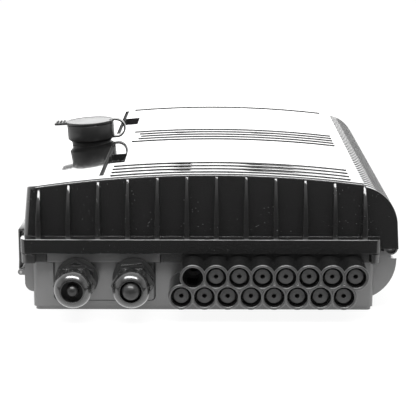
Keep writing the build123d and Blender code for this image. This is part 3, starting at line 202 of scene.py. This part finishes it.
def finish_of(name):
    """A new material and its empty tree."""
    material = bpy.data.materials.new(name)
    return material, Tree(material)


def dress(names, material):
    """Gives CAD nodes one material in place of the ones from model.glb."""
    for name in names:
        slots = nodes[name].data.materials
        slots.clear()
        slots.append(material)


# Finishes
def groove_mask(tree):
    """1 in the two long grooves beside the lock, which end short of the end walls."""
    along = tree.axis("Y").size()
    run = along.above(GROOVE_START * MM) * along.below(GROOVE_END * MM)
    top = tree.axis("Z").above(GROOVE_Z * MM, 0.0005)
    return tree.axis("X").near(GROOVE_X * MM, GROOVE_HALF * MM, 0.0001) * top * run


def fin_gaps(tree):
    """1 in the gaps between the bulge's fins, where no light reaches, and 0 on the fins."""
    x, y, z = (tree.axis(name) for name in "XYZ")
    pitch = 2 * (WALL_Y - FIN_WIDTH / 2) / (FINS - 1)
    turns = (y * (1 / (pitch * MM)) + (FINS - 1) / 2).combine("FRACT")
    off_fin = 0.5 - (turns - 0.5).size()
    gap = off_fin.above(FIN_WIDTH / 2 / pitch * 0.9, 0.02)
    reach = ((x - BULGE_X * MM) ** 2 + (z - BULGE_Z * MM) ** 2) ** 0.5
    outside = reach.above((BULGE_RADIUS - FIN_DEPTH) * MM)
    side = x.above(FIN_SIDE * MM) * z.above(FIN_FOOT * MM)
    return gap * side * outside * y.size().below((WALL_Y - FIN_WIDTH) * MM, 0.0001)


def flange_edge_highlight(tree):
    """1 on the painted highlight along the top edges of the flange's end faces, broken up by noise."""
    edge = tree.axis("Z").near(LEDGE_Z * MM, 0.00032, 0.00008)
    end = tree.axis("Y").size().above((FLANGE_Y - 0.6) * MM, 0.0001)
    return edge * end * tree.grain(40).above(0.3, 0.12)


def polished_shell():
    """Glossy black with faint scuffs and dust, dull in the grooves and between the fins, with a painted highlight on
    the flange's top edges.
    """
    material, tree = finish_of("polished_black")
    blotch = tree.grain(22, 3)
    scuff = tree.grain(260, 3, 0.6, (1, 0.12, 1)).above(0.62, 0.06)
    dust = tree.specks(420, 0.07) * tree.grain(30).above(0.52, 0.05)
    gap = fin_gaps(tree)
    dull = groove_mask(tree).larger(gap)
    black = tree.mix(dust * (1 - gap), grey(0.012), grey(0.26))
    # Painted highlight: a pale, broken line on the flange's top edges.
    color = tree.mix(flange_edge_highlight(tree), black, grey(0.3))
    rough = 0.06 + 0.05 * blotch + 0.05 * scuff + 0.4 * dust + 0.75 * dull
    normal = tree.bump(tree.grain(95, 2), 0.00002, 0.0007)
    tree.surface(color=color, rough=rough, normal=normal, ior=1.62, coat=0.6 - 0.6 * dull, coat_rough=0.03)
    return material


def plate_seam_shade(tree):
    """1 on the painted shade round the gland plate, a dark band where it slides into the tub."""
    x, z = tree.axis("X"), tree.axis("Z")
    low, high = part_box("gland_plate")
    shoulder = z.above(PLATE_SHOULDER_Z * MM)
    off_middle = (x - (low[0] + high[0]) / 2).size()
    narrow = off_middle.above((high[0] - low[0]) / 2 - PLATE_INSET * MM, 0.0001)
    foot = z.below(low[2] + PLATE_FOOT_GAP * MM, 0.0001)
    return (narrow * (1 - shoulder)).larger(foot)


def satin_tub(name, seam_shade_of=None):
    """Satin black with dark glossy port tubes; the walls are painted a lighter grey and the rims painted paler, both
    painted reflection of the bright floor, or with painted shade round the plate in place of the ports.
    """
    material, tree = finish_of(name)
    cloud = tree.grain(14, 4, 0.6)
    streak = tree.grain(60, 3, 0.5, (1, 1, 0.08))
    # Painted reflection: the walls' grey sits well above the plastic's black, standing in for the bright floor they
    # mirror; clouds and upright streaks vary the tone at random.
    wall = tree.mix(cloud * 0.5 + streak * 0.5, grey(0.075), grey(0.13))
    y = tree.axis("Y")
    rim_y = (PORT_END + 0.5) * MM
    tube = y.below(PORT_ROOT * MM, 0.0006) * y.above(rim_y)
    rough = 0.24 + 0.14 * cloud - 0.1 * tube
    if seam_shade_of:
        seam = seam_shade_of(tree)
        # Painted shade: near-black round the gland plate where it meets the tub.
        color = tree.mix(seam, wall, grey(0.004))
        rough = rough + 0.5 * seam
    else:
        # Painted reflection: the rims are painted paler than the near-black tube sides.
        color = tree.mix(y.below(rim_y), tree.mix(tube, wall, grey(0.012)), grey(0.03))
    normal = tree.bump(tree.grain(2600, 2), 0.00002, 0.0006)
    tree.surface(color=color, rough=rough, normal=normal, ior=1.85, coat=0.7, coat_rough=0.12)
    return material


def black_nylon():
    """Smooth glossy nylon of the cable glands."""
    material, tree = finish_of("black_nylon")
    cloud = tree.grain(130, 3)
    color = tree.mix(cloud, grey(0.010), grey(0.022))
    normal = tree.bump(tree.grain(700, 3), 0.000012, 0.0007)
    tree.surface(color=color, rough=0.13 + 0.1 * cloud, normal=normal, ior=1.8, coat=1.0, coat_rough=0.06)
    return material


def moulded(name, level, rough, depth, shine=0.0):
    """Rubber or plain plastic of one grey, with fine pores of some depth in metres."""
    material, tree = finish_of(name)
    pores = tree.grain(1500, 3, 0.6)
    cloud = tree.grain(90, 2)
    color = tree.mix(cloud * 0.6 + pores * 0.4, grey(level * 0.7), grey(level * 1.4))
    normal = tree.bump(pores, depth, 0.0004)
    tree.surface(color=color, rough=rough + 0.1 * cloud, normal=normal, coat=shine, coat_rough=0.12)
    return material


def zinc_plate():
    """Drawn steel with a cloudy zinc plating."""
    material, tree = finish_of("zinc_plate")
    cloud = tree.grain(120, 4)
    drawn = tree.grain(900, 2, 0.5, (0.05, 1, 1))
    color = tree.mix(cloud, grey(0.50, -0.01), grey(0.66, 0.02))
    normal = tree.bump(drawn, 0.00001, 0.0003)
    tree.surface(color=color, rough=0.28 + 0.14 * drawn, metal=1.0, normal=normal)
    return material


def nickel_plate():
    """The lock's smooth nickel plating."""
    material, tree = finish_of("nickel_plate")
    cloud = tree.grain(200, 3)
    color = tree.mix(cloud, grey(0.62, 0.02), grey(0.74, 0.03))
    normal = tree.bump(tree.grain(500, 2), 0.000006, 0.0003)
    tree.surface(color=color, rough=0.16 + 0.1 * cloud, metal=1.0, normal=normal)
    return material


def adapter_green():
    """Green adapters with pale dust caps at both ends."""
    material, tree = finish_of("adapter_green")
    cap = 1 - tree.axis("Y").near(ADAPTER_Y * MM, ADAPTER_HALF * MM)
    cloud = tree.grain(160, 2)
    body = tree.mix(cloud, (0.02, 0.16, 0.05, 1), (0.03, 0.22, 0.07, 1))
    color = tree.mix(cap, body, (0.55, 0.55, 0.53, 1))
    normal = tree.bump(tree.grain(1400, 2), 0.00002, 0.0003)
    tree.surface(color=color, rough=0.3 + 0.12 * cloud, normal=normal, coat=0.2, coat_rough=0.2)
    return material


def matt_module():
    """The splitter's and the tray's matt plastic."""
    material, tree = finish_of("matt_module")
    cloud = tree.grain(60, 3)
    color = tree.mix(cloud, grey(0.02), grey(0.035))
    normal = tree.bump(tree.grain(2200, 2), 0.00004, 0.0004)
    tree.surface(color=color, rough=0.5 + 0.1 * cloud, normal=normal)
    return material


def smoked_lid():
    """The tray's half-clear smoked lid."""
    material, tree = finish_of("smoked_lid")
    cloud = tree.grain(40, 2)
    color = tree.mix(cloud, grey(0.05), grey(0.07))
    normal = tree.bump(tree.grain(120, 2), 0.00002, 0.0003)
    tree.surface(color=color, rough=0.12 + 0.06 * cloud, normal=normal, alpha=0.45, coat=0.5, coat_rough=0.05)
    return material


SHELL = polished_shell()
TUB = satin_tub("satin_black")
PLATE = satin_tub("satin_plate", plate_seam_shade)
NYLON = black_nylon()
CAP = moulded("cap_rubber", 0.016, 0.3, 0.000006, 0.05)
BUNG = moulded("bung_rubber", 0.055, 0.62, 0.00008)
BLANK = moulded("blanking_rubber", 0.018, 0.3, 0.00001, 0.3)
# Painted highlight: the clips are a lighter grey than the black latch plastic, standing in for the pale strip along
# their edges.
CLIP = moulded("clip_plastic", 0.07, 0.3, 0.00001, 0.4)
SEAL = moulded("seal_rubber", 0.02, 0.5, 0.00003)
ZINC = zinc_plate()
NICKEL = nickel_plate()
GREEN = adapter_green()
MODULE = matt_module()
SMOKED = smoked_lid()

FINISHES = {
    "cover_plastic": SHELL, "base_plastic": TUB, "gland_plastic": NYLON, "latch_plastic": NYLON,
    "cap_rubber": CAP, "plug_rubber": BUNG, "seal_rubber": SEAL, "lock_metal": NICKEL, "steel": ZINC,
    "bracket_metal": ZINC, "adapter_plastic": GREEN, "module_plastic": MODULE, "tray_plastic": MODULE,
    "tray_cover": SMOKED,
}
for part in frame["record"]["subparts"]:
    dress([part["node"]], FINISHES[part["material_slot"]])
dress(["gland_left_plug", "gland_right_plug"], BLANK)
dress(["gland_plate"], PLATE)


# Pieces in mesh code
SHARP_ANGLE = math.radians(35)
BEVELLED_ANGLE = 0.6


def finished(mesh, name, body, material, replaced=()):
    """Turns a bmesh into a piece that rides on a body, smooth but for its sharp edges."""
    bmesh.ops.recalc_face_normals(mesh, faces=mesh.faces)
    data = bpy.data.meshes.new(name)
    mesh.to_mesh(data)
    mesh.free()
    for face in data.polygons:
        face.use_smooth = True
    data.set_sharp_from_angle(angle=SHARP_ANGLE)
    data.materials.append(material)
    piece = bpy.data.objects.new(name, data)
    bpy.context.scene.collection.objects.link(piece)
    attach(piece, body)
    if replaced:
        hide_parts(*replaced)


def add_to(mesh, shape, place):
    """Closes a shape's seams, moves it to its place and adds it to a piece's mesh."""
    bmesh.ops.remove_doubles(shape, verts=shape.verts, dist=1e-7)
    bmesh.ops.transform(shape, matrix=place, verts=shape.verts)
    carrier = bpy.data.meshes.new("carrier")
    shape.to_mesh(carrier)
    shape.free()
    mesh.from_mesh(carrier)
    bpy.data.meshes.remove(carrier)


def turned(mesh, profile, place, steps=64):
    """Adds a profile of radius and height, turned about Z. A profile that doesn't start on the axis is a ring."""
    shape = bmesh.new()
    points = [shape.verts.new((radius * MM, 0, height * MM)) for radius, height in profile]
    following = points[1:] if profile[0][0] == 0 else points[1:] + points[:1]
    edges = [shape.edges.new(pair) for pair in zip(points, following)]
    bmesh.ops.spin(shape, geom=points + edges, cent=(0, 0, 0), axis=(0, 0, 1), angle=2 * math.pi, steps=steps,
                   use_merge=True)
    add_to(mesh, shape, place)


def rounded_block(mesh, low, high, radius, place, segments=3):
    """Adds a block between two corners with all its edges rounded."""
    shape = bmesh.new()
    low, high = Vector(low) * MM, Vector(high) * MM
    size = Matrix.Diagonal((*(high - low), 1))
    bmesh.ops.create_cube(shape, size=1.0, matrix=Matrix.Translation((low + high) / 2) @ size)
    bmesh.ops.bevel(shape, geom=shape.edges[:], offset=radius * MM, affect="EDGES", segments=segments, profile=0.5,
                    material=-1)
    add_to(mesh, shape, place)


def plate_blade(mesh, outline, half_width, top_half_width, place, radius=0.4):
    """Adds a flat plate from an outline in YZ, as wide at its top as asked, with rounded edges."""
    shape = bmesh.new()
    face = shape.faces.new([shape.verts.new((-half_width * MM, y * MM, z * MM)) for y, z in outline])
    grown = bmesh.ops.extrude_face_region(shape, geom=[face])
    far = [item for item in grown["geom"] if isinstance(item, bmesh.types.BMVert)]
    bmesh.ops.translate(shape, vec=(2 * half_width * MM, 0, 0), verts=far)
    low = min(z for _, z in outline) * MM
    high = max(z for _, z in outline) * MM
    for vert in shape.verts:
        share = (vert.co.z - low) / (high - low)
        vert.co.x *= 1 + share * (top_half_width / half_width - 1)
    bmesh.ops.recalc_face_normals(shape, faces=shape.faces)
    edges = [edge for edge in shape.edges if edge.calc_face_angle(0) > BEVELLED_ANGLE]
    bmesh.ops.bevel(shape, geom=edges, offset=radius * MM, affect="EDGES", segments=2, profile=0.5, material=-1)
    add_to(mesh, shape, place)


def arc_through(start, middle, end, count):
    """Points of the circle through three points, from the first to the last."""
    (ax, ay), (bx, by), (cx, cy) = start, middle, end
    d = 2 * (ax * (by - cy) + bx * (cy - ay) + cx * (ay - by))
    a2, b2, c2 = ax * ax + ay * ay, bx * bx + by * by, cx * cx + cy * cy
    x = (a2 * (by - cy) + b2 * (cy - ay) + c2 * (ay - by)) / d
    y = (a2 * (cx - bx) + b2 * (ax - cx) + c2 * (bx - ax)) / d
    first = math.atan2(ay - y, ax - x)
    last = math.atan2(cy - y, cx - x)
    radius = math.hypot(ax - x, ay - y)
    return [(x + radius * math.cos(first + (last - first) * k / count),
             y + radius * math.sin(first + (last - first) * k / count)) for k in range(count + 1)]


def crown(x):
    """The height of the cover's crown above a place across it."""
    return CREST[1] - CROWN_RADIUS + math.sqrt(CROWN_RADIUS ** 2 - (x - CREST[0]) ** 2)


CAP_PLACE = (Matrix.Translation((LOCK_X * MM, 0, (crown(LOCK_X) + CAP_LIFT) * MM))
             @ Matrix.Rotation(math.radians(CAP_TILT), 4, "Y"))


def make_rib_blades():
    """The twelve ribs of each end wall as slender blades that swell out below their tops."""
    foot_z, foot_y, root_y = LEDGE_Z - 0.2, FLANGE_Y - 0.05, WALL_Y - 1
    for name, turn in (("rib_blades_front", math.pi), ("rib_blades_rear", 0)):
        mesh = bmesh.new()
        for number in range(RIBS):
            x = RIB_FIRST + RIB_PITCH * number
            top = (WALL_Y, crown(x) - 1.6)
            swell = arc_through((foot_y, foot_z), (WALL_Y + 7.4, LEDGE_Z + 22), top, 10)
            front = [(min(y, foot_y), z) for y, z in swell]
            side = x if turn == 0 else -x
            place = Matrix.Rotation(turn, 4, "Z") @ Matrix.Translation((side * MM, 0, 0))
            plate_blade(mesh, [(root_y, foot_z), *front, (root_y, top[1])], 1.75, 0.95, place)
        finished(mesh, name, "cover", SHELL)


def make_dust_cap():
    """The rubber cap of the lock: sleeve with strap loop, and lid with gripping tab."""
    half, inner, outer = 3.0, 15.0, 16.2  # the strap's half width and its heights at the lid
    loop_x, loop_z = 19.6, 9.0
    sleeve = bmesh.new()
    turned(sleeve, [(15.0, -1.6), (15.2, 0.6), (15.6, 0.9), (17.6, 2.6), (17.85, 3.0), (17.85, 13.4), (17.6, 13.8),
                    (14.9, 13.8), (14.9, -1.6)], CAP_PLACE)
    strap = bmesh.new()
    strip = [(loop_x, -half, outer), (loop_x, half, outer), (loop_x, half, inner), (loop_x, -half, inner)]
    face = strap.faces.new([strap.verts.new(Vector(corner) * MM) for corner in strip])
    bmesh.ops.spin(strap, geom=[face], cent=Vector((loop_x, 0, loop_z)) * MM, axis=(0, 1, 0), angle=math.pi, steps=20)
    add_to(sleeve, strap, CAP_PLACE)
    loop_end, low_inner, low_outer = loop_x + 0.3, 2 * loop_z - inner, 2 * loop_z - outer
    rounded_block(sleeve, (18.9, -half, inner), (loop_end, half, outer), 0.25, CAP_PLACE, 2)
    rounded_block(sleeve, (15.5, -half, low_outer), (loop_end, half, low_inner), 0.25, CAP_PLACE, 2)
    finished(sleeve, "cap_sleeve_moulding", "cover", CAP, ["cap_sleeve"])

    lid = bmesh.new()
    turned(lid, [(0, 14.0), (17.7, 14.0), (18.1, 14.4), (18.1, 15.6), (17.7, 16.0), (16.9, 16.05), (16.6, 15.8),
                 (0, 15.8)], CAP_PLACE)
    turned(lid, [(11.0, 11.4), (13.0, 11.6), (13.0, 14.2), (11.0, 14.2)], CAP_PLACE)
    rounded_block(lid, (-26.9, -5.6, 14.1), (-16.0, 5.6, 15.9), 0.8, CAP_PLACE)
    rounded_block(lid, (15.0, -half, inner), (18.75, half, outer), 0.25, CAP_PLACE, 2)
    for row in range(3):
        for column in (-1, 0, 1):
            place = CAP_PLACE @ Matrix.Translation(Vector((-24.8 + 2.5 * row, 3.0 * column, 0)) * MM)
            turned(lid, [(0, 15.7), (0.75, 15.7), (0.7, 16.2), (0.4, 16.55), (0, 16.65)], place, 12)
    finished(lid, "cap_lid_moulding", "cap", CAP, ["cap_lid"])


def make_latches():
    """Flat clips with a rolled foot on the pin and a nose over the flange."""
    outline = [(-125.4, LATCH_PIN_Z), (-125.0, 31.5), (-124.9, 52.4), (-124.3, 53.4), (-121.4, 53.4), (-120.4, 52.6),
               (-120.4, 51.9), (-123.4, 51.9), (-123.7, 51.4), (-123.7, 31.5), (-124.3, LATCH_PIN_Z)]
    width = 2 * LATCH_HALF
    foot = [(1.05, 0), (1.8, 0), (2.0, 0.2), (2.0, width - 0.2), (1.8, width), (1.05, width)]
    across = Matrix.Rotation(math.pi / 2, 4, "Z") @ Matrix.Diagonal((1, -1, 1, 1))
    along = Matrix.Rotation(-math.pi / 2, 4, "X")
    for name, y in LATCHES:
        mesh = bmesh.new()
        plate_blade(mesh, outline, LATCH_HALF, LATCH_HALF, Matrix.Translation((0, y * MM, 0)) @ across, 0.25)
        pin_end = Vector((LATCH_PIN_X, y - LATCH_HALF, LATCH_PIN_Z)) * MM
        turned(mesh, foot, Matrix.Translation(pin_end) @ along, 24)
        finished(mesh, name + "_clip", name, CLIP, [name])


def facing_front(x, y, z):
    """Turns +Z to the cable entries and moves the origin to a place in millimetres."""
    return Matrix.Translation(Vector((x, y, z)) * MM) @ Matrix.Rotation(math.pi / 2, 4, "X")


def make_port_rims():
    """A rounded bead on the mouth of each port tube."""
    mesh = bmesh.new()
    middle = (TUBE_RADIUS + BORE_RADIUS) / 2
    half = (TUBE_RADIUS - BORE_RADIUS) / 2
    bead = [(middle - half * math.cos(math.pi * k / 8), 0.75 * math.sin(math.pi * k / 8)) for k in range(9)]
    for x, z in PORT_PLACES:
        turned(mesh, [(BORE_RADIUS, -0.3), *bead, (TUBE_RADIUS, -0.3)], facing_front(x, PORT_END, z), 40)
    finished(mesh, "port_rims", "base", TUB)


def make_gland_threads():
    """Fine thread crests on the neck of each gland, between its hexagon and its cap nut."""
    root, crest = 10.1, 10.75
    for name, x in GLANDS:
        mesh = bmesh.new()
        for z in (9.15, 10.25):
            ridge = [(root, z - 0.4), (crest, z - 0.05), (crest, z + 0.05), (root, z + 0.4)]
            turned(mesh, ridge, facing_front(x, GLAND_FACE, GLAND_Z), 48)
        finished(mesh, name, "base", NYLON)


make_rib_blades()
make_dust_cap()
make_latches()
make_port_rims()
make_gland_threads()


# Room: floor, world and lamps
def make_floor():
    """A pale table, white to the camera. Gloss sees it close by, and the dark of the room in front of it."""
    mesh = bmesh.new()
    bmesh.ops.create_grid(mesh, x_segments=1, y_segments=1, size=6.0)
    data = bpy.data.meshes.new("floor")
    mesh.to_mesh(data)
    mesh.free()
    floor = bpy.data.objects.new("floor", data)
    floor.location.z = cad_low.z - 0.0002
    bpy.context.scene.collection.objects.link(floor)
    material, tree = finish_of("white_table")
    camera = tree.add("ShaderNodeLightPath", output="Is Camera Ray")
    gloss = tree.add("ShaderNodeLightPath", output="Is Glossy Ray")
    pale, dark, shade = (tree.add("ShaderNodeBsdfDiffuse", inputs={"Color": grey(level)}) for level in (0.8, 0.03, 0.1))
    white, glow = (tree.add("ShaderNodeEmission", inputs={"Color": grey(1.0), "Strength": level})
                   for level in (1.0, 0.92))
    far = tree.axis("Y").below(-0.26, 0.03)
    mirrored = tree.add("ShaderNodeMixShader", inputs={0: far, 1: white, 2: dark})
    unseen = tree.add("ShaderNodeMixShader", inputs={0: gloss, 1: pale, 2: mirrored})
    seen = tree.add("ShaderNodeAddShader", inputs={0: shade, 1: glow})
    surface = tree.add("ShaderNodeMixShader", inputs={0: camera, 1: unseen, 2: seen})
    tree.add("ShaderNodeOutputMaterial", inputs={"Surface": surface})
    data.materials.append(material)


def make_world():
    """White behind the object to the camera; for gloss a dark room in front, bright at the back and sides."""
    world = bpy.data.worlds.new("studio")
    bpy.context.scene.world = world
    tree = Tree(world)
    camera, gloss, through = (tree.add("ShaderNodeLightPath", output=name)
                              for name in ("Is Camera Ray", "Is Glossy Ray", "Is Transmission Ray"))
    direction = tree.add("ShaderNodeTexCoord", output=0)
    side, depth, height = (tree.add("ShaderNodeSeparateXYZ", inputs={"Vector": direction}, output=index)
                           for index in range(3))
    back = depth.above(0.05, 0.35)
    beside = side.size().above(0.72, 0.2) * height.above(-0.2, 0.2)
    overhead = height.above(0.55, 0.3)
    seen = camera.larger(through)
    ambient = 0.5 + 0.3 * back + 0.3 * overhead
    mirrored = 0.05 + 0.95 * back.larger(beside * 0.7).larger(overhead * 0.7)
    strength = seen + (1 - seen) * (gloss * mirrored + (1 - gloss) * ambient)
    shader = tree.add("ShaderNodeBackground", inputs={"Color": grey(1.0), "Strength": strength})
    tree.add("ShaderNodeOutputWorld", inputs={"Surface": shader})


def softbox(name, place, aim, width, height, power):
    """A rectangular lamp in metres and watts, turned to a point."""
    lamp = bpy.data.lights.new(name, "AREA")
    lamp.shape = "RECTANGLE"
    lamp.size = width
    lamp.size_y = height
    lamp.energy = power
    box = bpy.data.objects.new(name, lamp)
    box.location = place
    box.rotation_euler = (Vector(aim) - Vector(place)).to_track_quat("-Z", "Y").to_euler()
    bpy.context.scene.collection.objects.link(box)


def make_camera():
    """The photograph's camera: a long lens in front of the cable entries, a little above."""
    data = bpy.data.cameras.new("camera")
    data.lens = 115.96
    data.sensor_width = 36.0
    data.clip_start = 0.05
    camera = bpy.data.objects.new("camera", data)
    camera.location = (0.00909, -1.01437, 0.27251)
    camera.rotation_euler = (math.radians(90 - 13.15), 0, math.radians(0.385))
    bpy.context.scene.collection.objects.link(camera)
    bpy.context.scene.camera = camera


make_camera()
make_floor()
make_world()
softbox("back_softbox", (0, 2.2, 0.75), (0, 0, 0.05), 3.6, 1.2, 27)
softbox("overhead_softbox", (-0.1, -0.75, 1.35), (0, -0.1, 0.05), 1.6, 0.45, 26)
bpy.context.scene.view_settings.view_transform = "Standard"
